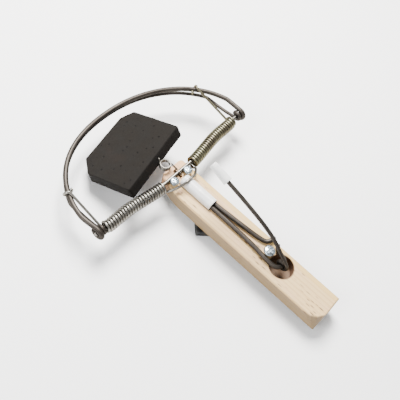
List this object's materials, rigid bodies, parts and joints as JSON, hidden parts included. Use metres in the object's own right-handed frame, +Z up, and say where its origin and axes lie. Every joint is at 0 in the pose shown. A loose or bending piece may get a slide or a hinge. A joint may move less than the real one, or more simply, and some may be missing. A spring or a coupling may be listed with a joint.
{
  "type": "snap mouse trap",
  "caption": "Half-moon snap trap: a sprung wire bow closes on a fixed bow at the end of a wooden handle, held open by a latch rod and released by a foam trigger pad.",
  "frame": {"origin": "middle of the whole part's box, on the plane that the foot stands on", "axes": "+X along the crossbar to the right, +Y from the handle towards the bows, +Z up"},
  "size_m": [0.2052, 0.2784, 0.0798],
  "materials": {
    "wood": "bare planed softwood",
    "bow_wire": "dark oiled steel wire",
    "bright_wire": "drawn bright steel wire",
    "zinc_wire": "yellow-green zinc plated spring wire",
    "zinc_screw": "bright zinc plating",
    "white_plastic": "scuffed white tube",
    "foam": "dense black foam",
    "rubber": "matt black"
  },
  "bodies": {
    "handle": {"wooden_handle": "wood", "crossbar_rod": "bright_wire", "fixed_jaw_bow": "bow_wire", "spring_coil_left": "bright_wire", "spring_coil_right": "zinc_wire", "spring_center_loop": "bright_wire", "front_screw_left": "zinc_screw", "front_screw_right": "zinc_screw", "rear_screw": "zinc_screw", "anchor_wire": "bow_wire", "anchor_sleeve": "white_plastic", "rubber_foot": "rubber"},
    "striker": {"striker_bow": "bow_wire", "spring_arm_left": "bright_wire", "spring_arm_right": "zinc_wire"},
    "latch": {"latch_rod": "bow_wire", "latch_cap": "white_plastic"},
    "trigger": {"trigger_wire": "bright_wire", "trigger_pad": "foam"}
  },
  "joints": [
    {"name": "striker_hinge", "type": "hinge", "parent": "handle", "child": "striker", "pos_m": [0, 0.05177, 0.0274], "axis": [1, 0, 0], "range_deg": [0, 145], "stiffness_Nm_per_rad": 0.4, "springref_deg": -60.16},
    {"name": "latch_hinge", "type": "hinge", "parent": "handle", "child": "latch", "pos_m": [-0.00099, -0.08223, 0.0278], "axis": [1, 0, 0], "range_deg": [-18, 105]},
    {"name": "trigger_hinge", "type": "hinge", "parent": "handle", "child": "trigger", "pos_m": [-0.00089, 0.04637, 0.0274], "axis": [1, 0, 0], "range_deg": [0, 20]}
  ]
}
